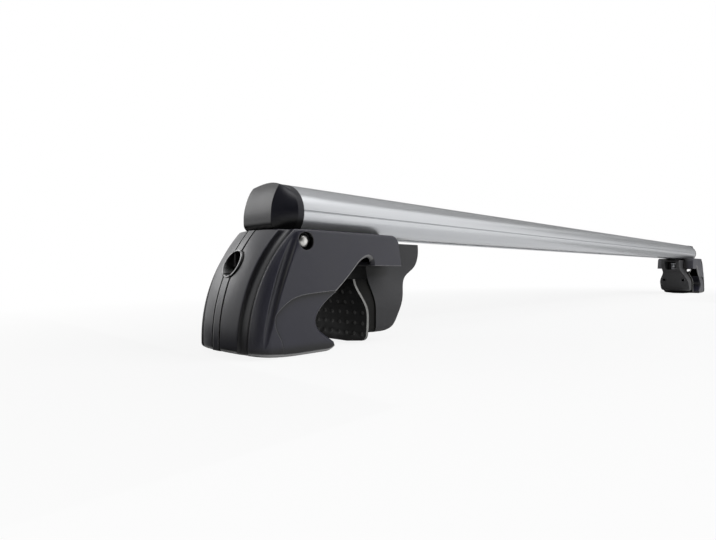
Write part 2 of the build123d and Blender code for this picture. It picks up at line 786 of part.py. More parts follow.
def bell_outline(top, bottom, inset=0.0, bow=0.0):
    """Closed front outline of the jaw and pad: narrow neck, wide plate with a bowed bottom edge."""
    neck = neck_width / 2 - inset
    plate = plate_width / 2 - inset
    turn = plate / 6
    corner = bottom + bow
    middle = ((neck + plate) / 2, (neck_level + plate_level) / 2)
    for side in (1, -1):
        Line((0, top), (side * neck, top))
        Line((side * neck, top), (side * neck, neck_level))
        Spline(
            (side * neck, neck_level),
            (side * middle[0], middle[1]),
            (side * plate, plate_level),
            tangents=[(0, -1), (0, -1)],
        )
        Line((side * plate, plate_level), (side * plate, corner + turn))
        TangentArc((side * plate, corner + turn), (side * (plate - turn), corner), tangent=(0, -1))
        Line((side * (plate - turn), corner), (side * plate / 3, bottom))
        Line((side * plate / 3, bottom), (0, bottom))


# Inner jaw: neck that runs under the arm, belled plate behind the pad, pocket for the nut
jaw_top = roof - jaw_top_clearance
with BuildPart() as inner_jaw:
    with BuildSketch(cross_plane(jaw_face)):
        with BuildLine():
            bell_outline(jaw_top, jaw_bottom)
        make_face()
    extrude(amount=jaw_reach - jaw_face)
    with BuildSketch(side_plane(plate_width / 2)):
        with BuildLine():
            sole_start = (jaw_face + 7.0, jaw_bottom)
            sole_end = (jaw_face + 22.5, jaw_bottom + 8.4)
            Polyline(sole_start, (jaw_face, jaw_bottom), (jaw_face, jaw_top), (jaw_reach - 0.5, jaw_top))
            TangentArc(sole_start, sole_end, tangent=(1, 0))
            Spline(
                (jaw_reach - 0.5, jaw_top),
                (jaw_reach, jaw_top - 6.5),
                (jaw_reach - 4.0, arm_under + 1.0),
                (jaw_reach - 18.3, arm_under - 7.8),
                (jaw_reach - 30.1, arm_under - 22.5),
                sole_end,
            )
        make_face()
    extrude(amount=plate_width, mode=Mode.INTERSECT)
    with BuildSketch(cross_plane(jaw_face)):
        with Locations((0, tension_level)):
            Circle(tension_radius + fit_clearance)
        with Locations((screw_spacing / 2, screw_level), (-screw_spacing / 2, screw_level)):
            Circle(screw_radius + fit_clearance)
    extrude(amount=pocket_start - jaw_face, mode=Mode.SUBTRACT)
    with BuildSketch(cross_plane(nut_start)):
        with Locations((0, tension_level)):
            Rectangle(nut_width + 2 * fit_clearance, nut_width + 2 * fit_clearance)
    extrude(amount=nut_seat, mode=Mode.SUBTRACT)
    with BuildSketch(cross_plane(pocket_start)):
        with Locations((0, tension_level - pocket_drop)):
            Rectangle(pocket_width, pocket_height, align=(Align.CENTER, Align.MIN))
    extrude(amount=jaw_reach - pocket_start, mode=Mode.SUBTRACT)
    with BuildSketch(cross_plane(jaw_face + screw_seat)):
        with Locations((screw_spacing / 2, screw_level), (-screw_spacing / 2, screw_level)):
            Circle(screw_head_radius + fit_clearance)
    extrude(amount=jaw_reach - jaw_face - screw_seat, mode=Mode.SUBTRACT)

# Rubber pad on the jaw: wide front plate, a narrower block behind it, and two screws
pad_front = jaw_face - pad_thickness


def pad_curve(back):
    """Front line of the pad seen from the side, moved back by a distance."""
    return Spline(
        (pad_front - 0.9 * pad_bulge + back, pad_top),
        (pad_front - 0.95 * pad_bulge + back, pad_top - 7.0),
        (pad_front - 0.6 * pad_bulge + back, pad_top - 13.0),
        (pad_front + 0.3 + back, plate_level + 2.5),
        (pad_front + 0.9 + back, plate_level - 9.0),
        (pad_front - 0.5 + back, pad_bottom),
    )


with BuildPart() as pad_face:
    with BuildSketch(cross_plane(pad_front - pad_bulge)):
        with BuildLine():
            bell_outline(pad_top, pad_bottom, bow=pad_bow)
        make_face()
    extrude(amount=pad_thickness)
    with BuildSketch(side_plane(plate_width / 2)):
        with BuildLine():
            front = pad_curve(0)
            rear = pad_curve(pad_plate)
            Line(front @ 0, rear @ 0)
            Line(front @ 1, rear @ 1)
        make_face()
    extrude(amount=plate_width, mode=Mode.INTERSECT)

with BuildPart() as grip_pad:
    with BuildSketch(cross_plane(pad_front - pad_bulge)):
        with BuildLine():
            bell_outline(pad_top - pad_rebate, jaw_bottom, inset=pad_rebate)
        make_face()
    extrude(amount=pad_thickness + pad_bulge)
    with BuildSketch(side_plane(plate_width / 2)):
        with BuildLine():
            front = pad_curve(pad_plate / 2)
            Polyline(front @ 0, (jaw_face, pad_top), (jaw_face, pad_bottom), front @ 1)
        make_face()
    extrude(amount=plate_width, mode=Mode.INTERSECT)
    add(pad_face.part)
    with BuildSketch(cross_plane(jaw_face)):
        with Locations((screw_spacing / 2, screw_level), (-screw_spacing / 2, screw_level)):
            Circle(screw_radius + running_clearance)
    extrude(amount=-screw_bite - fit_clearance, mode=Mode.SUBTRACT)

with BuildPart() as pad_screws:
    with BuildSketch(cross_plane(jaw_face + screw_seat)):
        with Locations((screw_spacing / 2, screw_level), (-screw_spacing / 2, screw_level)):
            Circle(screw_head_radius)
    extrude(amount=screw_head)
    with BuildSketch(cross_plane(jaw_face - screw_bite)):
        with Locations((screw_spacing / 2, screw_level), (-screw_spacing / 2, screw_level)):
            Circle(screw_radius)
    extrude(amount=screw_bite + screw_seat)
    with BuildSketch(cross_plane(jaw_face + screw_seat + screw_head)):
        with Locations((screw_spacing / 2, screw_level), (-screw_spacing / 2, screw_level)):
            Rectangle(1.2 * screw_head_radius, driver_slot)
            Rectangle(driver_slot, 1.2 * screw_head_radius)
    extrude(amount=-0.5 * screw_head, mode=Mode.SUBTRACT)

# Lock: fixed sleeve, key plug, and the arm that stands in front of the tension bolt
cam_back = lock_shoulder - fit_clearance
cam_front = cam_back - cam_thickness
tail_end = cam_front - fit_clearance
with BuildPart() as lock_housing:
    with BuildSketch(side_plane(lock_face + sleeve_proud)):
        with Locations((lock_reach, lock_level)):
            Circle(sleeve_radius)
            Circle(lock_radius + running_clearance, mode=Mode.SUBTRACT)
    extrude(amount=lock_length + sleeve_proud - sleeve_short)

with BuildPart() as lock_cylinder:
    with BuildSketch(side_plane(lock_face)):
        with Locations((lock_reach, lock_level)):
            Circle(lock_radius)
    extrude(amount=lock_length)
    with BuildSketch(side_plane(lock_shoulder)):
        with Locations((lock_reach, lock_level)):
            Rectangle(cam_tail, cam_tail)
    extrude(amount=lock_shoulder - tail_end)
    with BuildSketch(side_plane(lock_face)):
        with Locations((lock_reach, lock_level)):
            Circle(lock_radius - plug_rim)
    extrude(amount=plug_recess, mode=Mode.SUBTRACT)
    with BuildSketch(side_plane(lock_face)):
        with Locations((lock_reach, lock_level)):
            Rectangle(key_slot_length, key_slot_width)
    extrude(amount=key_slot_depth, mode=Mode.SUBTRACT)
    with BuildSketch(side_plane(lock_shoulder)):
        with Locations((lock_reach, lock_level)):
            Circle(cam_screw_radius + running_clearance)
    extrude(amount=lock_shoulder - tail_end, mode=Mode.SUBTRACT)
    with BuildSketch(side_plane(lock_shoulder)):
        with Locations((lock_reach, lock_level)):
            Circle(cam_screw_radius + running_clearance)
    extrude(amount=-cam_screw_length, mode=Mode.SUBTRACT)

cam_run = cam_arm * cos(radians(cam_angle))
cam_rise = cam_arm * sin(radians(cam_angle))
cam_tip = (lock_reach - cam_run, lock_level + cam_rise)
with BuildPart() as lock_cam:
    with BuildSketch(side_plane(cam_back)):
        with Locations((lock_reach, lock_level)):
            Circle(cam_hub)
        arm_middle = (lock_reach - cam_run / 2, lock_level + cam_rise / 2, 0)
        with Locations(Location(arm_middle, (0, 0, -cam_angle))):
            SlotCenterToCenter(cam_arm, cam_tab)
        with Locations((lock_reach, lock_level)):
            Rectangle(cam_tail + fit_clearance, cam_tail + fit_clearance, mode=Mode.SUBTRACT)
    extrude(amount=cam_thickness)
    with BuildSketch(side_plane(cam_front)):
        with Locations(cam_tip):
            Circle(0.4 * cam_tab)
    extrude(amount=cam_front + core_half - cam_peg_short)

with BuildPart() as cam_screw:
    with BuildSketch(side_plane(tail_end)):
        with Locations((lock_reach, lock_level)):
            Circle(cam_screw_head_radius)
    extrude(amount=cam_screw_head)
    with BuildSketch(side_plane(tail_end)):
        with Locations((lock_reach, lock_level)):
            Circle(cam_screw_radius)
    extrude(amount=tail_end - lock_shoulder - cam_screw_length + 2 * fit_clearance)
    with BuildSketch(side_plane(tail_end - cam_screw_head)):
        with Locations((lock_reach, lock_level)):
            Rectangle(1.3 * cam_screw_head_radius, driver_slot)
    extrude(amount=-cam_screw_head / 3, mode=Mode.SUBTRACT)

# Left pieces as modelled, and their twins at the other end of the bar
bar.part.label = "bar"
export_step(bar.part, "parts/bar.step")
foot_pieces = {
    "end_cap": end_cap.part,
    "core": core.part,
    "front_shell": front_shell.part,
    "rear_shell": rear_shell.part,
    "shell_bolt": shell_bolt.part,
    "shell_nut": shell_nut.part,
    "bar_bolts": bar_bolts.part,
    "bar_nut_plate": bar_nut_plate.part,
    "tension_bolt": tension_bolt.part,
    "tension_washer": tension_washer.part,
    "tension_nut": tension_nut.part,
    "inner_jaw": inner_jaw.part,
    "grip_pad": grip_pad.part,
    "pad_screws": pad_screws.part,
    "lock_housing": lock_housing.part,
    "lock_cylinder": lock_cylinder.part,
    "lock_cam": lock_cam.part,
    "cam_screw": cam_screw.part,
}
for name, piece in foot_pieces.items():
    twin = mirror(piece, about=Plane.YZ)
    piece.label = "left_" + name
    twin.label = "right_" + name
    export_step(piece, "parts/left_" + name + ".step")
    export_step(twin, "parts/right_" + name + ".step")
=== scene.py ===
"""Dressed scene of a roof rack crossbar: finishes, fine detail, studio and camera."""

import json
import logging
import math
from dataclasses import dataclass, field
from enum import Enum
from typing import Iterable

import bpy
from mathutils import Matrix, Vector

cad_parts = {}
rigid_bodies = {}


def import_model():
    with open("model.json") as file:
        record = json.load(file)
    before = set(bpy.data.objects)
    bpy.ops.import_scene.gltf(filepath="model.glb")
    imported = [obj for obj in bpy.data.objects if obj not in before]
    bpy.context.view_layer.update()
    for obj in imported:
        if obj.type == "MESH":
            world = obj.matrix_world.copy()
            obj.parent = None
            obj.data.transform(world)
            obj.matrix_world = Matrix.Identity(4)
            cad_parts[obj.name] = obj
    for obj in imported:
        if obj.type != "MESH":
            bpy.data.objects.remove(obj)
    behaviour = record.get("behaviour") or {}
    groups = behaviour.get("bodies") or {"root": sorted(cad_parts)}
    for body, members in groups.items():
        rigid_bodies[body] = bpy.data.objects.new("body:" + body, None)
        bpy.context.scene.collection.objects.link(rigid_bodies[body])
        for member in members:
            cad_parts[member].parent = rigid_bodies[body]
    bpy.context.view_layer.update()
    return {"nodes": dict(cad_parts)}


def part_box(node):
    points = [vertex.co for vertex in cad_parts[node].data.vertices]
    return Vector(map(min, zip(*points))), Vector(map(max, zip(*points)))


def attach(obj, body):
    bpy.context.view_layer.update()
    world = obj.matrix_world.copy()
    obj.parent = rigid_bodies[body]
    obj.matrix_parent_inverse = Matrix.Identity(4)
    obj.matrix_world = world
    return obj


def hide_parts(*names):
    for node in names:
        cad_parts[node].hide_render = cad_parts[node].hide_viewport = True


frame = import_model()

LOG = logging.getLogger("crossbar")
MM = 0.001
IMAGE_WIDTH = 716

# Mesh limits
WELD = 0.002 * MM
SLIVER = 0.001 * MM
NEAR = 0.01 * MM
FLAT = math.radians(0.5)
FACING = 0.9

# Rays that a finish sends out at a point
EDGE_SAMPLES = 8
SKY_SAMPLES = 12

# Open share inside a piece, at its edge and on a face
EDGE_SHARE = (0.55, 0.93)

# Part of a parting line's half width that is fully dark
SEAM_CORE = 0.15

# Tilts of a normal between which an edge starts to count as facing down, and as facing outwards
DOWN_TILT = (-0.5, -0.25)
OUTER_TILT = (0.4, 0.65)

# Open share below an edge with something under it and below a free one, and the radii it is looked for in
FREE_SHARE = (0.88, 0.99)
FREE_REACH = 3.0

Colour = tuple[float, float, float]
Point = tuple[float, float, float]
Pair = tuple[float, float]
Socket = bpy.types.NodeSocket

WHITE = (1.0, 1.0, 1.0, 1.0)


class Side(Enum):
    """End of the bar that a foot belongs to."""

    LEFT = "left"
    RIGHT = "right"

    @property
    def outward(self) -> float:
        """Sign of X that points away from the middle of the bar."""
        return -1.0 if self is Side.LEFT else 1.0

    def named(self, name: str) -> str:
        """Name of this end's copy of a foot piece or body."""
        return f"{self.value}_{name}"


class Surface(Enum):
    """Finish that a piece of the crossbar wears."""

    BAR = "bar"
    CAP = "cap"
    SHELL = "shell"
    CORE = "core"
    JAW = "jaw"
    SLEEVE = "sleeve"
    RUBBER = "rubber"
    # Dimple: rubber painted pale inside the dimples, a painted highlight
    DIMPLE = "dimple"
    # Pad edge: rubber painted pale on the pad's rim, a painted highlight
    PAD_EDGE = "pad_edge"
    BRIGHT = "bright"
    ZINC = "zinc"
    CHROME = "chrome"
    SHUTTER = "shutter"


def around(value: float, spread: Pair) -> Pair:
    """Lowest and highest of a value that varies by a spread."""
    return value + spread[0], value + spread[1]


class Graph:
    """A shader node tree, built from its sources to its output."""

    def __init__(self, owner: bpy.types.Material | bpy.types.World, output: str) -> None:
        """Empties the owner's tree and starts it with an output node.

        Args:
            owner: Material or world that the tree belongs to.
            output: Blender's name of the output node type.
        """
        owner.use_nodes = True
        self.owner = owner
        self.tree = owner.node_tree
        self.tree.nodes.clear()
        self.output = self.tree.nodes.new(output)

    @classmethod
    def material(cls, name: str) -> "Graph":
        """Starts the tree of a new material."""
        return cls(bpy.data.materials.new(name), "ShaderNodeOutputMaterial")

    def add(
        self, kind: str, inputs: dict[str | int, object] | None = None, **settings: object
    ) -> bpy.types.Node:
        """Adds a node and fills its sockets.

        Args:
            kind: Blender's name of the node type.
            inputs: Socket name or number to a value, or to another node's output socket.
            **settings: Properties of the node itself.

        Returns:
            The new node.
        """
        node = self.tree.nodes.new(kind)
        for key, value in settings.items():
            setattr(node, key, value)
        for key, value in (inputs or {}).items():
            socket = node.inputs[key]
            if isinstance(value, Socket):
                self.tree.links.new(value, socket)
            else:
                socket.default_value = value
        return node

    def place(self, scale: Iterable[float] = (1, 1, 1)) -> Socket:
        """Object coordinates, scaled along each axis.

        Args:
            scale: Scale along each axis.

        Returns:
            The vector socket.
        """
        coordinates = self.add("ShaderNodeTexCoord").outputs["Object"]
        inputs = {"Vector": coordinates, "Scale": tuple(scale)}
        return self.add("ShaderNodeMapping", inputs).outputs["Vector"]

    def split(self, vector: Socket) -> bpy.types.NodeOutputs:
        """The X, Y and Z sockets of a vector."""
        return self.add("ShaderNodeSeparateXYZ", {"Vector": vector}).outputs

    def reckon(self, operation: str, first: Socket, second: Socket | float | None = None) -> Socket:
        """A value worked out from one or two others.

        Args:
            operation: Blender's name of the operation.
            first: First value.
            second: Second value, where the operation takes one.

        Returns:
            The value socket.
        """
        inputs = {0: first} if second is None else {0: first, 1: second}
        return self.add("ShaderNodeMath", inputs, operation=operation).outputs[0]

    def noise(self, vector: Socket, scale: float, detail: float = 3.0, roughness: float = 0.55) -> Socket:
        """A noise value between 0 and 1.

        Args:
            vector: Where the noise is read.
            scale: Cells per unit of the vector.
            detail: Octaves.
            roughness: Weight of the finer octaves.

        Returns:
            The value socket.
        """
        inputs = {"Vector": vector, "Scale": scale, "Detail": detail, "Roughness": roughness}
        return self.add("ShaderNodeTexNoise", inputs).outputs["Fac"]

    def between(
        self, value: Socket, low: float, high: float, start: float = 0.3, end: float = 0.7
    ) -> Socket:
        """Maps a value smoothly from one range to another.

        Args:
            value: Socket to map.
            low: Result at the start of the range.
            high: Result at its end.
            start: Start of the range.
            end: End of the range.

        Returns:
            The value socket.
        """
        inputs = {"Value": value, "From Min": start, "From Max": end, "To Min": low, "To Max": high}
        return self.add("ShaderNodeMapRange", inputs, interpolation_type="SMOOTHSTEP").outputs["Result"]

    def blend(self, factor: Socket, first: Colour | Socket, second: Colour) -> Socket:
        """Blends two colours by a value.

        Args:
            factor: Socket from 0 to 1.
            first: Colour at 0, or a colour socket.
            second: Colour at 1.

        Returns:
            The colour socket.
        """
        below = first if isinstance(first, Socket) else (*first, 1.0)
        inputs = {0: factor, 6: below, 7: (*second, 1.0)}
        return self.add("ShaderNodeMix", inputs, data_type="RGBA").outputs[2]

    def sky(self, distance: float, normal: Socket | None = None, **settings: object) -> Socket:
        """Open share of the sky above a point.

        Args:
            distance: How far away something still closes it.
            normal: Middle of that sky, if it isn't the surface's own normal.
            **settings: Properties of the node, such as looking inside the piece.

        Returns:
            The value socket.
        """
        inputs: dict[str | int, object] = {"Distance": distance}
        if normal is not None:
            inputs["Normal"] = normal
        node = self.add("ShaderNodeAmbientOcclusion", inputs, samples=SKY_SAMPLES, **settings)
        return node.outputs["AO"]

    def rounded(self, radius: float) -> Socket:
        """The surface's normal with every edge rounded by a radius."""
        return self.add("ShaderNodeBevel", {"Radius": radius}, samples=EDGE_SAMPLES).outputs["Normal"]

    def ridge(self, width: float, most: float) -> Socket:
        """How near a point is to an outer edge.

        Args:
            width: Width of the strip along the edge.
            most: Result on the edge itself.

        Returns:
            The value socket, 0 on an open face.
        """
        inside = self.sky(width, inside=True, only_local=True)
        return self.between(inside, most, 0.0, *EDGE_SHARE)

    def hollow(self, reach: float, most: float, narrow: float = 0.5, open_face: float = 0.97) -> Socket:
        """How deep a point lies in a groove or gap.

        Args:
            reach: How far away a neighbouring wall still counts.
            most: Result at the bottom of a narrow gap.
            narrow: Open share of the sky at which a gap counts as narrow.
            open_face: Open share of the sky from which a face counts as open.

        Returns:
            The value socket, 0 on an open face.
        """
        return self.between(self.sky(reach), most, 0.0, narrow, open_face)

    def parting(self, seam: float, width: float) -> Socket:
        """Depth of the parting line between the shells and the core.

        Args:
            seam: Distance of the line from the middle plane of the foot.
            width: Half the width of the line.

        Returns:
            The value socket, 1 on the line and 0 beside it.
        """
        aside = self.reckon("ABSOLUTE", self.split(self.place())["Y"])
        apart = self.reckon("ABSOLUTE", self.reckon("SUBTRACT", aside, seam))
        return self.between(apart, 1.0, 0.0, SEAM_CORE * width, width)

    def undercut(self, radius: float) -> Socket:
        """How much a point belongs to a free edge between an outer wall and what faces the ground.

        Args:
            radius: How far from a sharp edge the strip reaches.

        Returns:
            The value socket, 0 away from such edges.
        """
        normal = self.rounded(radius)
        parts = self.split(normal)
        end = self.reckon("SIGN", self.split(self.place())["X"])
        outward = self.reckon("MULTIPLY", parts["X"], end)
        aside = self.reckon("MAXIMUM", self.reckon("ABSOLUTE", parts["Y"]), outward)
        down = self.between(parts["Z"], 1.0, 0.0, *DOWN_TILT)
        slanted = self.reckon("MULTIPLY", down, self.between(aside, 0.0, 1.0, *OUTER_TILT))
        below = self.sky(FREE_REACH * radius, normal, only_local=True)
        return self.reckon("MULTIPLY", slanted, self.between(below, 0.0, 1.0, *FREE_SHARE))

    def bump(
        self, height: Socket, distance: float, strength: float = 1.0, normal: Socket | None = None
    ) -> Socket:
        """A bumped normal.

        Args:
            height: Height value.
            distance: Height of 1, in metres.
            strength: How much of it shows.
            normal: Normal to bump, if it isn't the surface's own.

        Returns:
            The normal socket.
        """
        inputs: dict[str | int, object] = {"Height": height, "Distance": distance, "Strength": strength}
        if normal is not None:
            inputs["Normal"] = normal
        return self.add("ShaderNodeBump", inputs).outputs["Normal"]

    def seen(self) -> Socket:
        """1 for what the camera sees, by itself, in a reflection or through glass."""
        path = self.add("ShaderNodeLightPath").outputs
        either = self.reckon("MAXIMUM", path["Is Camera Ray"], path["Is Glossy Ray"])
        return self.reckon("MAXIMUM", either, path["Is Transmission Ray"])

    def shader(self, **inputs: object) -> Socket:
        """A Principled shader.

        Args:
            **inputs: Socket names, with underscores for spaces, to values or sockets.

        Returns:
            The shader socket.
        """
        named = {key.replace("_", " "): value for key, value in inputs.items()}
        return self.add("ShaderNodeBsdfPrincipled", named).outputs["BSDF"]

    def mixed(self, factor: Socket, first: Socket, second: Socket) -> Socket:
        """Mixes two shaders by a value."""
        return self.add("ShaderNodeMixShader", {0: factor, 1: first, 2: second}).outputs[0]

    def close(self, shader: Socket) -> bpy.types.Material | bpy.types.World:
        """Links a shader to the output and gives back the tree's owner."""
        self.tree.links.new(shader, self.output.inputs["Surface"])
        return self.owner


@dataclass(frozen=True)
class MouldedPlastic:
    """Black moulded plastic: spark-eroded grain, faint flow clouds, painted highlights on outer and
    downward-facing edges, and painted shade in grooves and seams.
    """

    name: str
    dark: Colour
    light: Colour
    # Edge colour: a painted highlight along outer edges
    edge: Colour
    roughness: float = 0.45
    uneven: Pair = (-0.05, 0.05)
    specular: float = 0.4
    cloud: float = 34.0
    grain: float = 2300.0
    depth: float = 0.06 * MM
    radius: float = 0.7 * MM
    painted_underlight: Colour | None = None
    underlight_radius: float = 1.5 * MM
    seam: float | None = None
    seam_width: float = 1.1 * MM
    seam_depth: float = 0.9 * MM
    rub: float = 0.8 * MM
    most_highlight: float = 0.9
    reach: float = 9.0 * MM
    groove_range: Pair = (0.82, 1.0)
    most_shaded: float = 0.95
    shadow: Colour = (0.002, 0.002, 0.002)

    def material(self) -> bpy.types.Material:
        """Builds the material.

        Returns:
            The material.
        """
        graph = Graph.material(self.name)
        place = graph.place()
        cloud = graph.noise(place, self.cloud, detail=4.0)
        spark = graph.noise(place, self.grain, detail=2.0, roughness=0.6)
        body = graph.blend(graph.between(cloud, 0.0, 1.0), self.dark, self.light)
        # Painted highlight: outer edges are lightened towards the edge colour
        colour = graph.blend(graph.ridge(self.rub, self.most_highlight), body, self.edge)
        normal = graph.rounded(self.radius)
        if self.seam is not None:
            parting = graph.parting(self.seam, self.seam_width)
            # Painted shade along the parting line between shells and core
            colour = graph.blend(parting, colour, self.shadow)
            normal = graph.bump(parting, -self.seam_depth, normal=normal)
        # Painted shade: grooves, gaps and inner corners darken towards the shadow colour
        deep = graph.hollow(self.reach, self.most_shaded, *self.groove_range)
        colour = graph.blend(deep, colour, self.shadow)
        # Painted highlight on free edges that face down and outwards, as if lit from below
        if self.painted_underlight is not None:
            colour = graph.blend(graph.undercut(self.underlight_radius), colour, self.painted_underlight)
        return graph.close(
            graph.shader(
                Base_Color=colour,
                Roughness=graph.between(cloud, *around(self.roughness, self.uneven)),
                Specular_IOR_Level=self.specular,
                Normal=graph.bump(spark, self.depth, strength=0.5, normal=normal),
            )
        )


@dataclass(frozen=True)
class AnodisedBar:
    """Satin anodised aluminium with fine lines along the extrusion, and painted shade in its hollows."""

    name: str
    colour: Colour
    shade: Colour
    groove: Colour = (0.3, 0.31, 0.33)
    roughness: float = 0.3
    uneven: Pair = (-0.03, 0.05)
    anisotropy: float = 0.4
    line_scale: Point = (2.5, 1500.0, 1500.0)
    band_scale: Point = (0.8, 130.0, 130.0)
    grain: float = 5200.0
    depth: float = 0.006 * MM
    reach: float = 1.6 * MM
    most_shaded: float = 0.9

    def material(self) -> bpy.types.Material:
        """Builds the material.

        Returns:
            The material.
        """
        graph = Graph.material(self.name)
        lines = graph.noise(graph.place(self.line_scale), 1.0, detail=4.0, roughness=0.65)
        bands = graph.noise(graph.place(self.band_scale), 1.0, detail=2.0)
        grain = graph.noise(graph.place(), self.grain, detail=1.0)
        grained = graph.bump(grain, self.depth, strength=0.5)
        satin = graph.blend(graph.between(bands, 0.0, 1.0), self.colour, self.shade)
        return graph.close(
            graph.shader(
                # Painted shade: the mid-line and inner corners darken in their hollows
                Base_Color=graph.blend(graph.hollow(self.reach, self.most_shaded), satin, self.groove),
                Metallic=1.0,
                Roughness=graph.between(lines, *around(self.roughness, self.uneven)),
                Anisotropic=self.anisotropy,
                Normal=graph.bump(lines, self.depth, strength=0.6, normal=grained),
            )
        )


@dataclass(frozen=True)
class PlatedMetal:
    """Plated metal with a faint cloudiness, softly broken edges and painted shade in recesses."""

    name: str
    colour: Colour
    shade: Colour
    roughness: float = 0.22
    uneven: Pair = (-0.05, 0.08)
    cloud: float = 260.0
    grain: float = 3200.0
    depth: float = 0.01 * MM
    radius: float = 0.25 * MM
    reach: float = 2.5 * MM
    most_shaded: float = 0.9
    recess_shade: Colour = (0.03, 0.029, 0.028)

    def material(self) -> bpy.types.Material:
        """Builds the material.

        Returns:
            The material.
        """
        graph = Graph.material(self.name)
        place = graph.place()
        cloud = graph.noise(place, self.cloud, detail=4.0)
        grain = graph.noise(place, self.grain, detail=2.0)
        plating = graph.blend(graph.between(cloud, 0.0, 1.0), self.colour, self.shade)
        return graph.close(
            graph.shader(
                # Painted shade: the plating darkens in recesses and near walls
                Base_Color=graph.blend(graph.hollow(self.reach, self.most_shaded), plating, self.recess_shade),
                Metallic=1.0,
                Roughness=graph.between(cloud, *around(self.roughness, self.uneven)),
                Normal=graph.bump(grain, self.depth, strength=0.4, normal=graph.rounded(self.radius)),
            )
        )


@dataclass(frozen=True)
class PadRubber:
    """Matt black rubber with a dusty, uneven surface."""

    name: str
    dark: Colour
    light: Colour
    roughness: float = 0.7
    uneven: Pair = (-0.1, 0.1)
    specular: float = 0.2
    dust: float = 90.0
    dust_range: Pair = (0.35, 0.75)
    grain: float = 1800.0
    depth: float = 0.05 * MM
    radius: float = 0.4 * MM

    def material(self) -> bpy.types.Material:
        """Builds the material.

        Returns:
            The material.
        """
        graph = Graph.material(self.name)
        place = graph.place()
        dust = graph.noise(place, self.dust, detail=6.0, roughness=0.7)
        grain = graph.noise(place, self.grain)
        dusted = graph.between(dust, 0.0, 1.0, *self.dust_range)
        return graph.close(
            graph.shader(
                Base_Color=graph.blend(dusted, self.dark, self.light),
                Roughness=graph.between(dust, *around(self.roughness, self.uneven)),
                Specular_IOR_Level=self.specular,
                Normal=graph.bump(grain, self.depth, strength=0.5, normal=graph.rounded(self.radius)),
            )
        )


FINISHES: dict[Surface, MouldedPlastic | AnodisedBar | PlatedMetal | PadRubber] = {
    Surface.BAR: AnodisedBar("bar_metal", (0.72, 0.735, 0.755), (0.68, 0.695, 0.72)),
    Surface.CAP: MouldedPlastic(
        "cap_plastic",
        dark=(0.006, 0.006, 0.009),
        light=(0.009, 0.009, 0.012),
        edge=(0.03, 0.03, 0.034),
        roughness=0.36,
        specular=0.35,
    ),
    Surface.SHELL: MouldedPlastic(
        "shell_plastic",
        dark=(0.0115, 0.0115, 0.018),
        light=(0.0155, 0.0155, 0.023),
        edge=(0.035, 0.035, 0.04),
        roughness=0.37,
        specular=0.65,
        # Painted highlight colour for the shell's downward-facing edges
        painted_underlight=(0.26, 0.26, 0.26),
        seam=3.9 * MM,
    ),
    Surface.CORE: MouldedPlastic(
        "core_plastic",
        dark=(0.0115, 0.0115, 0.018),
        light=(0.0155, 0.0155, 0.023),
        # Painted highlight: pale lines along the strip's and the ring's edges
        edge=(0.5, 0.5, 0.51),
        roughness=0.37,
        specular=0.65,
        rub=1.3 * MM,
        seam=3.9 * MM,
    ),
    Surface.JAW: MouldedPlastic(
        "jaw_plastic",
        dark=(0.0125, 0.0125, 0.014),
        light=(0.017, 0.017, 0.0185),
        edge=(0.05, 0.05, 0.052),
        roughness=0.5,
        specular=0.55,
    ),
    Surface.SLEEVE: MouldedPlastic(
        "sleeve_plastic",
        dark=(0.008, 0.008, 0.009),
        light=(0.012, 0.012, 0.013),
        edge=(0.03, 0.03, 0.03),
        roughness=0.35,
    ),
    Surface.RUBBER: PadRubber("pad_rubber", (0.006, 0.006, 0.006), (0.011, 0.011, 0.01)),
    # Painted highlight: pale rubber inside the dimples
    Surface.DIMPLE: PadRubber("pad_dimple_highlight", (0.06, 0.06, 0.058), (0.08, 0.08, 0.077)),
    # Painted highlight: pale rubber on the pad's rim
    Surface.PAD_EDGE: PadRubber("pad_edge", (0.14, 0.14, 0.135), (0.2, 0.2, 0.195), roughness=0.55),
    Surface.BRIGHT: PlatedMetal("bright_steel", (0.86, 0.85, 0.82), (0.78, 0.77, 0.74), roughness=0.33),
    Surface.ZINC: PlatedMetal("zinc_steel", (0.62, 0.63, 0.65), (0.5, 0.51, 0.53), roughness=0.3),
    Surface.CHROME: PlatedMetal("lock_chrome", (0.84, 0.84, 0.85), (0.78, 0.78, 0.8), roughness=0.12),
    Surface.SHUTTER: PlatedMetal("lock_shutter", (0.2, 0.075, 0.06), (0.15, 0.055, 0.045), roughness=0.35),
}

NODE_SURFACE: dict[str, Surface] = {
    "end_cap": Surface.CAP,
    "core": Surface.CORE,
    "front_shell": Surface.SHELL,
    "rear_shell": Surface.SHELL,
    "shell_bolt": Surface.BRIGHT,
    "shell_nut": Surface.BRIGHT,
    "bar_bolts": Surface.ZINC,
    "bar_nut_plate": Surface.ZINC,
    "tension_bolt": Surface.ZINC,
    "tension_washer": Surface.ZINC,
    "tension_nut": Surface.ZINC,
    "inner_jaw": Surface.JAW,
    "grip_pad": Surface.RUBBER,
    "pad_screws": Surface.ZINC,
    "lock_housing": Surface.SLEEVE,
    "lock_cylinder": Surface.CHROME,
    "lock_cam": Surface.ZINC,
    "cam_screw": Surface.ZINC,
}


@dataclass
class Wardrobe:
    """The scene's materials, made once and shared by the pieces."""

    made: dict[Surface, bpy.types.Material] = field(default_factory=dict)

    def get(self, surface: Surface) -> bpy.types.Material:
        """Makes or finds the material of a finish.

        Args:
            surface: The finish.

        Returns:
            Its material.
        """
        if surface not in self.made:
            self.made[surface] = FINISHES[surface].material()
        return self.made[surface]

    def dress(self, item: bpy.types.Object, *surfaces: Surface) -> None:
        """Gives an object its finishes, one slot for each.

        Args:
            item: Object to dress.
            *surfaces: Finishes, in the order of the slots.
        """
        item.data.materials.clear()
        for surface in surfaces:
            item.data.materials.append(self.get(surface))


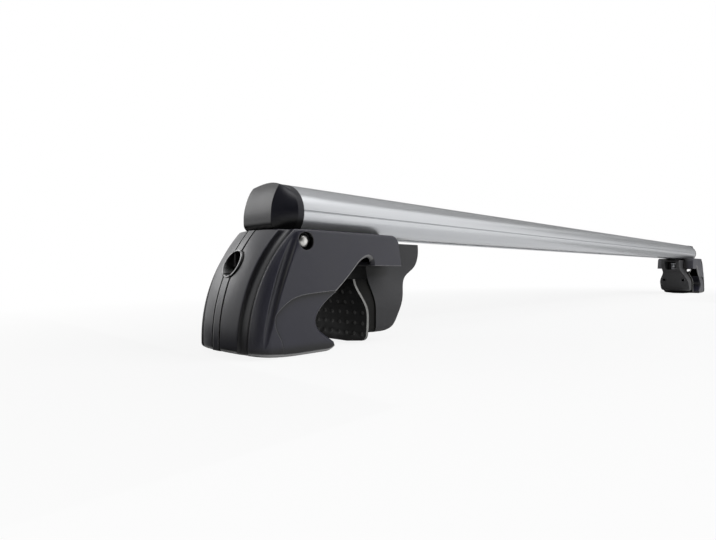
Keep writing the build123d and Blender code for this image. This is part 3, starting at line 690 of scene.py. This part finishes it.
def select_only(*objects: bpy.types.Object) -> None:
    """Leaves only the given objects selected, with the first one active.

    Args:
        *objects: Objects to select.
    """
    bpy.ops.object.select_all(action="DESELECT")
    for item in objects:
        item.select_set(True)
    bpy.context.view_layer.objects.active = objects[0]


def edit_all(item: bpy.types.Object) -> None:
    """Opens an object in edit mode with all of its mesh selected.

    Args:
        item: Object to open.
    """
    select_only(item)
    bpy.ops.object.mode_set(mode="EDIT")
    bpy.ops.mesh.select_all(action="SELECT")


def leave_edit() -> None:
    """Goes back to object mode."""
    bpy.ops.object.mode_set(mode="OBJECT")


def pick(item: bpy.types.Object, kind: str, chosen: Iterable[int]) -> None:
    """Opens an object in edit mode with the chosen parts of its mesh selected.

    Args:
        item: Object to open.
        kind: VERT, EDGE or FACE.
        chosen: Numbers of the vertices, edges or faces.
    """
    edit_all(item)
    bpy.ops.mesh.select_mode(type=kind)
    bpy.ops.mesh.select_all(action="DESELECT")
    leave_edit()
    parts = {"VERT": item.data.vertices, "EDGE": item.data.edges, "FACE": item.data.polygons}[kind]
    for number in chosen:
        parts[number].select = True
    bpy.ops.object.mode_set(mode="EDIT")


def settle(item: bpy.types.Object) -> None:
    """Puts an object's place, turn and size into its mesh."""
    select_only(item)
    bpy.ops.object.transform_apply(location=True, rotation=True, scale=True)


def apply_modifier(item: bpy.types.Object, kind: str, **settings: object) -> None:
    """Adds a modifier and applies it.

    Args:
        item: Object to change.
        kind: Blender's name of the modifier type.
        **settings: Properties of the modifier.
    """
    select_only(item)
    modifier = item.modifiers.new(kind.lower(), kind)
    for key, value in settings.items():
        setattr(modifier, key, value)
    bpy.ops.object.modifier_apply(modifier=modifier.name)


def carve(item: bpy.types.Object, tool: bpy.types.Object, operation: str = "DIFFERENCE") -> None:
    """Cuts a tool out of an object or joins it on, and removes the tool.

    Args:
        item: Object to change.
        tool: Closed shape to cut with or to join.
        operation: DIFFERENCE or UNION.
    """
    apply_modifier(item, "BOOLEAN", object=tool, operation=operation, solver="EXACT")
    bpy.data.objects.remove(tool, do_unlink=True)


def drop_slivers(item: bpy.types.Object) -> None:
    """Deletes flat slivers that a cut leaves in a piece, and whatever isn't joined to the piece's end.

    Args:
        item: Piece to clean.
    """
    edit_all(item)
    bpy.ops.mesh.dissolve_degenerate(threshold=SLIVER)
    leave_edit()
    end = max(item.data.vertices, key=lambda point: point.co.x).index
    pick(item, "VERT", [end])
    bpy.ops.mesh.select_linked()
    bpy.ops.mesh.select_all(action="INVERT")
    bpy.ops.mesh.delete(type="VERT")
    leave_edit()


def copy_node(name: str, piece_name: str) -> bpy.types.Object:
    """Copies a CAD node's mesh into a new piece, with its loose triangles joined.

    Args:
        name: Name of the node.
        piece_name: Name of the new piece.

    Returns:
        The new piece.
    """
    piece = bpy.data.objects.new(piece_name, frame["nodes"][name].data.copy())
    bpy.context.scene.collection.objects.link(piece)
    edit_all(piece)
    bpy.ops.mesh.customdata_custom_splitnormals_clear()
    bpy.ops.mesh.remove_doubles(threshold=WELD)
    bpy.ops.mesh.dissolve_limited(angle_limit=FLAT)
    leave_edit()
    return piece


@dataclass
class Bar:
    """The extruded bar."""

    wardrobe: Wardrobe

    def build(self) -> None:
        """Gives the profile its anodised finish."""
        self.wardrobe.dress(frame["nodes"]["bar"], Surface.BAR)
        LOG.info("bar dressed")


PAD_SURFACES = (Surface.RUBBER, Surface.PAD_EDGE, Surface.DIMPLE)


@dataclass
class GripPad:
    """Rubber pad on the jaw, with rows of round dimples in its front plate."""

    side: Side
    wardrobe: Wardrobe
    column_pitch: float = 8.0 * MM
    row_pitch: float = 7.5 * MM
    first_row: float = 6.6 * MM
    columns: int = 7
    rows: int = 6
    ball: float = 3.2 * MM
    depth: float = 0.35 * MM
    swell: float = 1.035
    margin: float = 3.1 * MM
    plate: float = 2.4 * MM
    skin: float = 1.0 * MM
    rim_tilt: float = 0.4
    ball_segments: int = 24
    ball_rings: int = 14
    smooth: float = math.radians(32)

    def build(self) -> bpy.types.Object:
        """Models the pad and puts it in the place of its plain solid.

        Returns:
            The new piece.
        """
        node = self.side.named("grip_pad")
        pad = copy_node(node, self.side.named("dimpled_pad"))
        self.wardrobe.dress(pad, *PAD_SURFACES)
        edit_all(pad)
        bpy.ops.transform.resize(value=(1, self.swell, 1), center_override=(0, 0, 0))
        leave_edit()
        self._pale_edge(pad)
        self._dimple(pad)
        select_only(pad)
        bpy.ops.object.shade_smooth_by_angle(angle=self.smooth)
        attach(pad, self.side.named("jaw"))
        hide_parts(node)
        LOG.info("%s: %d faces", pad.name, len(pad.data.polygons))
        return pad

    def _front(self, pad: bpy.types.Object, depth: float, height: float) -> tuple[Vector, Vector] | None:
        """Point and normal of the pad's front.

        Args:
            pad: The pad.
            depth: Place along Y.
            height: Place along Z.

        Returns:
            Point and normal, or nothing beside the pad.
        """
        start = Vector((self.side.outward, depth, height))
        hit, point, normal, _ = pad.ray_cast(start, Vector((-self.side.outward, 0, 0)))
        return (point.copy(), normal.copy()) if hit else None

    def _pale_edge(self, pad: bpy.types.Object) -> None:
        """Paints the rim of the front plate paler, a painted highlight.

        Args:
            pad: The pad.
        """
        rim: list[int] = []
        low, high = (corner[2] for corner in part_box(self.side.named("grip_pad")))
        for face in pad.data.polygons:
            level = min(max(face.center.z, low + self.skin), high - self.skin)
            front = self._front(pad, 0.0, level)
            upright = abs(face.normal.x) < self.rim_tilt
            if front and upright and abs(face.center.x - front[0].x) < self.plate:
                rim.append(face.index)
        pick(pad, "FACE", rim)
        pad.active_material_index = PAD_SURFACES.index(Surface.PAD_EDGE)
        bpy.ops.object.material_slot_assign()
        leave_edit()

    def _dimple(self, pad: bpy.types.Object) -> None:
        """Sinks the dimples into the front, wherever a whole one fits.

        Args:
            pad: The pad.
        """
        bpy.ops.object.select_all(action="DESELECT")
        bpy.ops.mesh.primitive_uv_sphere_add(
            segments=self.ball_segments, ring_count=self.ball_rings, radius=self.ball
        )
        model = bpy.context.object
        balls: list[bpy.types.Object] = []
        for row in range(self.rows):
            for column in range(self.columns):
                depth = (column - (self.columns - 1) / 2) * self.column_pitch
                height = self.first_row + row * self.row_pitch
                front = self._front(pad, depth, height)
                if front is None or not self._fits(pad, depth, height, front[0].x):
                    continue
                point, normal = front
                ball = bpy.data.objects.new("dimple", model.data.copy())
                bpy.context.scene.collection.objects.link(ball)
                ball.location = point + normal * (self.ball - self.depth)
                balls.append(ball)
        bpy.data.objects.remove(model, do_unlink=True)
        select_only(*balls)
        bpy.ops.object.join()
        settle(balls[0])
        self.wardrobe.dress(balls[0], *PAD_SURFACES)
        # The dimples' walls get the pale rubber, a painted highlight
        for face in balls[0].data.polygons:
            face.material_index = PAD_SURFACES.index(Surface.DIMPLE)
        carve(pad, balls[0])
        LOG.info("%s: %d dimples", pad.name, len(balls))

    def _fits(self, pad: bpy.types.Object, depth: float, height: float, reach: float) -> bool:
        """Says whether the plate carries a whole dimple at a place.

        Args:
            pad: The pad.
            depth: Place along Y.
            height: Place along Z.
            reach: Where the front is there, along X.

        Returns:
            Whether the whole dimple lies on the front.
        """
        for aside, above in ((1, 0), (-1, 0), (0, 1), (0, -1)):
            near = self._front(pad, depth + aside * self.margin, height + above * self.margin)
            if near is None or abs(near[0].x - reach) > self.margin:
                return False
        return True


def frame_middle(node: str) -> Vector:
    """Middle of a CAD node's box."""
    low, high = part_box(node)
    return (Vector(low) + Vector(high)) / 2


@dataclass
class TensionBolt:
    """Long socket-head bolt that draws the jaw in, with a knurled head and a rolled thread."""

    side: Side
    wardrobe: Wardrobe
    head_length: float = 8.0 * MM
    head_radius: float = 6.5 * MM
    shank_radius: float = 3.95 * MM
    root_radius: float = 3.3 * MM
    pitch: float = 1.25 * MM
    thread_length: float = 62.0 * MM
    key_radius: float = 3.46 * MM
    key_depth: float = 4.0 * MM
    knurls: int = 48
    knurl_depth: float = 0.22 * MM
    edge: float = 0.6 * MM
    key_sides: int = 6
    crest_start: float = 0.42
    crest_end: float = 0.55
    steps: int = 28
    tip_turns: float = 1.3
    tip_taper: float = 0.86
    smooth: float = math.radians(28)

    def build(self) -> bpy.types.Object:
        """Models the bolt and puts it in the place of its plain solid.

        Returns:
            The new piece.
        """
        node = self.side.named("tension_bolt")
        low, high = (Vector(corner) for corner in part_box(node))
        axis = (low + high) / 2
        length = high.x - low.x
        head_end = axis.x + self.side.outward * length / 2
        bolt = self._head(Vector((head_end, axis.y, axis.z)), length)
        carve(bolt, self._thread(Vector((head_end - self.side.outward * length, axis.y, axis.z))), "UNION")
        drop_slivers(bolt)
        select_only(bolt)
        bpy.ops.object.shade_smooth_by_angle(angle=self.smooth)
        self.wardrobe.dress(bolt, Surface.ZINC)
        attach(bolt, self.side.named("tension"))
        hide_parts(node)
        LOG.info("%s: %d faces", bolt.name, len(bolt.data.polygons))
        return bolt

    def _head(self, end: Vector, length: float) -> bpy.types.Object:
        """Knurled head with its socket, and the plain shank.

        Args:
            end: Middle of the head's outer face.
            length: Length of the whole bolt.

        Returns:
            The head and shank.
        """
        inward = -self.side.outward
        bpy.ops.object.select_all(action="DESELECT")
        bpy.ops.mesh.primitive_cylinder_add(
            vertices=2 * self.knurls,
            radius=self.head_radius,
            depth=self.head_length,
            location=end + Vector((inward * self.head_length / 2, 0, 0)),
            rotation=(0, math.pi / 2, 0),
        )
        bolt = bpy.context.object
        bolt.name = self.side.named("threaded_bolt")
        settle(bolt)
        valleys = [
            point.index
            for point in bolt.data.vertices
            if round(math.atan2(point.co.z - end.z, point.co.y - end.y) / math.pi * self.knurls) % 2
        ]
        pick(bolt, "VERT", valleys)
        shrink = 1 - self.knurl_depth / self.head_radius
        bpy.ops.transform.resize(value=(1, shrink, shrink), center_override=end)
        leave_edit()
        caps = [face for face in bolt.data.polygons if abs(face.normal.x) > FACING]
        caps.sort(key=lambda face: face.center.x)
        outer, inner = (caps[0], caps[-1]) if inward > 0 else (caps[-1], caps[0])
        inner_index = inner.index
        pick(bolt, "FACE", [outer.index])
        bpy.ops.mesh.inset(thickness=self.edge)
        leave_edit()
        pick(bolt, "FACE", [inner_index])
        bpy.ops.mesh.inset(thickness=self.head_radius - self.shank_radius - self.knurl_depth / 2)
        plain = length - self.head_length - self.thread_length + self.pitch
        bpy.ops.mesh.extrude_region_move(TRANSFORM_OT_translate={"value": (inward * plain, 0, 0)})
        leave_edit()
        rim = [
            point.index
            for point in bolt.data.vertices
            if abs(point.co.x - end.x) < NEAR
            and math.hypot(point.co.y - end.y, point.co.z - end.z) > self.head_radius - 2 * self.knurl_depth
        ]
        pick(bolt, "VERT", rim)
        bpy.ops.transform.translate(value=(inward * self.edge, 0, 0))
        leave_edit()
        bpy.ops.object.select_all(action="DESELECT")
        bpy.ops.mesh.primitive_cylinder_add(
            vertices=self.key_sides,
            radius=self.key_radius,
            depth=2 * self.key_depth,
            location=end,
            rotation=(0, math.pi / 2, 0),
        )
        key = bpy.context.object
        settle(key)
        carve(bolt, key)
        return bolt

    def _thread(self, tip: Vector) -> bpy.types.Object:
        """Rolled thread with a tapered tip.

        Args:
            tip: Middle of the bolt's far end.

        Returns:
            The thread, closed at both ends.
        """
        outward = self.side.outward
        turns = int(self.thread_length / self.pitch) - 1
        root, crest = self.root_radius, self.shank_radius
        profile = ((0.0, root), (self.crest_start, crest), (self.crest_end, crest), (1.0, root))
        last = len(profile) - 1
        bpy.ops.object.select_all(action="DESELECT")
        bpy.ops.mesh.primitive_circle_add(vertices=len(profile), radius=self.root_radius)
        thread = bpy.context.object
        for point, (along, radius) in zip(thread.data.vertices, profile):
            point.co = (outward * along * self.pitch, 0, radius)
        closing = [edge.index for edge in thread.data.edges if set(edge.vertices) == {0, last}]
        pick(thread, "EDGE", closing)
        bpy.ops.mesh.delete(type="EDGE_FACE")
        leave_edit()
        apply_modifier(
            thread,
            "SCREW",
            axis="X",
            screw_offset=outward * self.pitch,
            iterations=turns,
            steps=self.steps,
            render_steps=self.steps,
            use_merge_vertices=True,
            merge_threshold=WELD,
        )
        edit_all(thread)
        bpy.ops.mesh.remove_doubles(threshold=WELD)
        bpy.ops.mesh.select_all(action="SELECT")
        bpy.ops.mesh.fill_holes(sides=0)
        leave_edit()
        pick(thread, "FACE", [face.index for face in thread.data.polygons if len(face.vertices) > 4])
        bpy.ops.mesh.poke()
        bpy.ops.mesh.select_all(action="SELECT")
        bpy.ops.mesh.normals_make_consistent(inside=False)
        leave_edit()
        taper = self.tip_turns * self.pitch
        first = [point.index for point in thread.data.vertices if abs(point.co.x) < taper]
        pick(thread, "VERT", first)
        narrow = self.tip_taper
        bpy.ops.transform.resize(value=(1, narrow, narrow), center_override=(0, 0, 0))
        leave_edit()
        thread.location = tip
        settle(thread)
        return thread


@dataclass
class KeyShutter:
    """Sprung shutter that closes the key slot of the lock's plug."""

    side: Side
    wardrobe: Wardrobe
    length: float = 10.3 * MM
    height: float = 1.8 * MM
    thickness: float = 1.2 * MM
    sunk: float = 1.5 * MM
    edge: float = 0.125 * MM
    edge_segments: int = 2
    rim_share: float = 0.25
    dish_share: float = 0.25
    smooth: float = math.radians(30)

    def build(self) -> bpy.types.Object:
        """Models the shutter in its slot.

        Returns:
            The new piece.
        """
        plug = self.side.named("lock_cylinder")
        middle = frame_middle(plug)
        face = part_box(plug)[1][1]
        bpy.ops.object.select_all(action="DESELECT")
        bpy.ops.mesh.primitive_cube_add(
            size=1, location=(middle.x, face - self.sunk - self.thickness / 2, middle.z)
        )
        shutter = bpy.context.object
        shutter.name = self.side.named("key_shutter")
        shutter.scale = (self.length, self.thickness, self.height)
        settle(shutter)
        front = max(shutter.data.polygons, key=lambda polygon: polygon.center.y).index
        pick(shutter, "FACE", [front])
        bpy.ops.mesh.inset(thickness=self.rim_share * self.height)
        dish = -self.dish_share * self.thickness
        bpy.ops.mesh.extrude_region_move(TRANSFORM_OT_translate={"value": (0, dish, 0)})
        leave_edit()
        apply_modifier(
            shutter, "BEVEL", width=self.edge, segments=self.edge_segments, limit_method="ANGLE"
        )
        select_only(shutter)
        bpy.ops.object.shade_smooth_by_angle(angle=self.smooth)
        self.wardrobe.dress(shutter, Surface.SHUTTER)
        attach(shutter, self.side.named("lock"))
        LOG.info("%s: %d faces", shutter.name, len(shutter.data.polygons))
        return shutter


@dataclass
class Foot:
    """A clamp foot at one end of the bar."""

    side: Side
    wardrobe: Wardrobe

    def build(self) -> None:
        """Dresses the foot's CAD pieces and adds its finer ones."""
        for name, surface in NODE_SURFACE.items():
            self.wardrobe.dress(frame["nodes"][self.side.named(name)], surface)
        GripPad(self.side, self.wardrobe).build()
        TensionBolt(self.side, self.wardrobe).build()
        KeyShutter(self.side, self.wardrobe).build()
        LOG.info("%s foot built", self.side.value)


@dataclass(frozen=True)
class Softbox:
    """A soft rectangular lamp."""

    name: str
    place: Point
    aim: Point
    size: Pair
    watts: float
    mirrored: bool = True

    def build(self) -> None:
        """Hangs the lamp."""
        data = bpy.data.lights.new(self.name, "AREA")
        data.shape = "RECTANGLE"
        data.size, data.size_y = self.size
        data.energy = self.watts
        lamp = bpy.data.objects.new(self.name, data)
        bpy.context.scene.collection.objects.link(lamp)
        lamp.visible_glossy = self.mirrored
        lamp.location = self.place
        lamp.rotation_euler = (Vector(self.aim) - Vector(self.place)).to_track_quat("-Z", "Y").to_euler()


@dataclass(frozen=True)
class Flag:
    """A grey studio card that the camera doesn't see, which shapes the reflections."""

    name: str
    place: Point
    aim: Point
    size: Pair
    shade: float
    top_shade: float | None = None
    roughness: float = 0.9

    def build(self) -> None:
        """Stands the card up."""
        bpy.ops.object.select_all(action="DESELECT")
        bpy.ops.mesh.primitive_plane_add(size=1, location=self.place)
        card = bpy.context.object
        card.name = self.name
        card.scale = (*self.size, 1)
        card.rotation_euler = (Vector(self.aim) - Vector(self.place)).to_track_quat("Z", "Y").to_euler()
        card.visible_camera = False
        card.visible_shadow = False
        graph = Graph.material(self.name)
        height = graph.split(graph.place())["Y"]
        half = 0.5
        grade = graph.between(height, 0.0, 1.0, -half, half)
        top = self.shade if self.top_shade is None else self.top_shade
        shades = graph.blend(grade, (self.shade,) * 3, (top,) * 3)
        shader = graph.shader(Base_Color=shades, Roughness=self.roughness, Specular_IOR_Level=0.0)
        card.data.materials.append(graph.close(shader))


@dataclass
class Studio:
    """Pale floor, white surroundings, soft lamps and grey cards."""

    floor_size: float = 40.0
    floor_drop: float = 0.2 * MM
    floor_colour: Colour = (0.48, 0.48, 0.48)
    floor_roughness: float = 0.9
    floor_specular: float = 0.1
    speckle: float = 6.0
    speckle_depth: float = 0.01
    stretch: Point = (0.6, 1.0, 1.0)
    seen_white: Pair = (0.85, 1.0)
    seen_range: Pair = (0.2, 0.7)
    mirrored_white: Pair = (0.1, 0.95)
    mirrored_range: Pair = (0.4, 1.6)
    ambient: float = 0.25
    lamps: tuple[Softbox, ...] = (
        Softbox("rear_softbox", (-1.2, 1.35, 0.72), (-0.6, 0.0, 0.09), (0.9, 0.7), 7.0),
        Softbox("top_softbox", (-0.5, -0.35, 1.7), (-0.35, 0.0, 0.08), (2.2, 0.9), 10.0),
        Softbox("key_softbox", (0.3, -1.3, 1.0), (-0.4, 0.0, 0.05), (1.6, 1.0), 46.0, mirrored=False),
    )
    flags: tuple[Flag, ...] = (
        Flag("front_flag", (-0.9, -1.4, 0.75), (-0.6, 0.0, 0.1), (2.6, 2.4), 0.02),
        Flag("far_flag", (2.6, 0.4, 0.7), (0.3, 0.0, 0.1), (2.6, 1.4), 0.5, 0.7),
        Flag("back_flag", (1.1, 1.0, 1.45), (-0.4, 0.0, 0.1), (3.0, 2.4), 0.4, 0.9),
        Flag("low_flag", (-0.82, 0.2, 0.001), (-0.82, 0.2, 1.0), (0.37, 0.7), 0.02),
        Flag("end_flag", (0.95, -0.27, 0.001), (0.95, -0.27, 1.0), (1.5, 0.42), 0.3),
    )

    def build(self) -> None:
        """Builds floor, surroundings, lamps and cards."""
        self._floor()
        self._world()
        for lamp in self.lamps:
            lamp.build()
        for flag in self.flags:
            flag.build()
        LOG.info("studio built")

    def _floor(self) -> None:
        """Lays the pale floor, which turns plain white away from the object."""
        bpy.ops.object.select_all(action="DESELECT")
        bpy.ops.mesh.primitive_plane_add(size=self.floor_size, location=(0, 0, -self.floor_drop))
        floor = bpy.context.object
        floor.name = "studio_floor"
        graph = Graph.material("studio_floor")
        speckle = graph.noise(graph.place(), self.speckle)
        low = tuple(channel - self.speckle_depth for channel in self.floor_colour)
        pale = graph.shader(
            Base_Color=graph.blend(speckle, low, self.floor_colour),
            Roughness=self.floor_roughness,
            Specular_IOR_Level=self.floor_specular,
        )
        white = graph.add("ShaderNodeEmission", {"Color": WHITE, "Strength": 1.0}).outputs[0]
        length = graph.add("ShaderNodeVectorMath", {0: graph.place(self.stretch)}, operation="LENGTH")
        away = length.outputs["Value"]
        straight = graph.between(away, *self.seen_white, *self.seen_range)
        mirrored = graph.between(away, *self.mirrored_white, *self.mirrored_range)
        direct = graph.add("ShaderNodeLightPath").outputs["Is Camera Ray"]
        fade = graph.add("ShaderNodeMix", {0: direct, 2: mirrored, 3: straight}).outputs[0]
        shown = graph.reckon("MULTIPLY", fade, graph.seen())
        floor.data.materials.append(graph.close(graph.mixed(shown, pale, white)))

    def _world(self) -> None:
        """Makes the surroundings white to the camera and in reflections, and softer as light."""
        world = bpy.data.worlds.new("studio_world")
        bpy.context.scene.world = world
        graph = Graph(world, "ShaderNodeOutputWorld")
        soft = graph.add("ShaderNodeBackground", {"Color": WHITE, "Strength": self.ambient}).outputs[0]
        white = graph.add("ShaderNodeBackground", {"Color": WHITE, "Strength": 1.0}).outputs[0]
        graph.close(graph.mixed(graph.seen(), soft, white))


@dataclass
class PhotoCamera:
    """Camera at the photograph's view."""

    place: Point = (-0.7853, -0.2734, 0.0526)
    heading: Point = (0.7142, 0.7000, 0.0)
    focal_pixels: float = 500.0
    sensor: float = 36.0
    near: float = 0.01

    def build(self) -> None:
        """Adds the camera and makes it the scene's."""
        data = bpy.data.cameras.new("photo_camera")
        data.sensor_width = self.sensor
        data.lens = self.focal_pixels / IMAGE_WIDTH * self.sensor
        data.clip_start = self.near
        camera = bpy.data.objects.new("photo_camera", data)
        bpy.context.scene.collection.objects.link(camera)
        camera.location = self.place
        camera.rotation_euler = Vector(self.heading).to_track_quat("-Z", "Y").to_euler()
        bpy.context.scene.camera = camera


def main() -> None:
    """Builds the scene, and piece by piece."""
    logging.basicConfig(level=logging.INFO, format="%(name)s: %(message)s")
    bpy.context.scene.view_settings.view_transform = "Standard"
    wardrobe = Wardrobe()
    PhotoCamera().build()
    Studio().build()
    Bar(wardrobe).build()
    for side in Side:
        Foot(side, wardrobe).build()


if __name__ == "__main__":
    main()
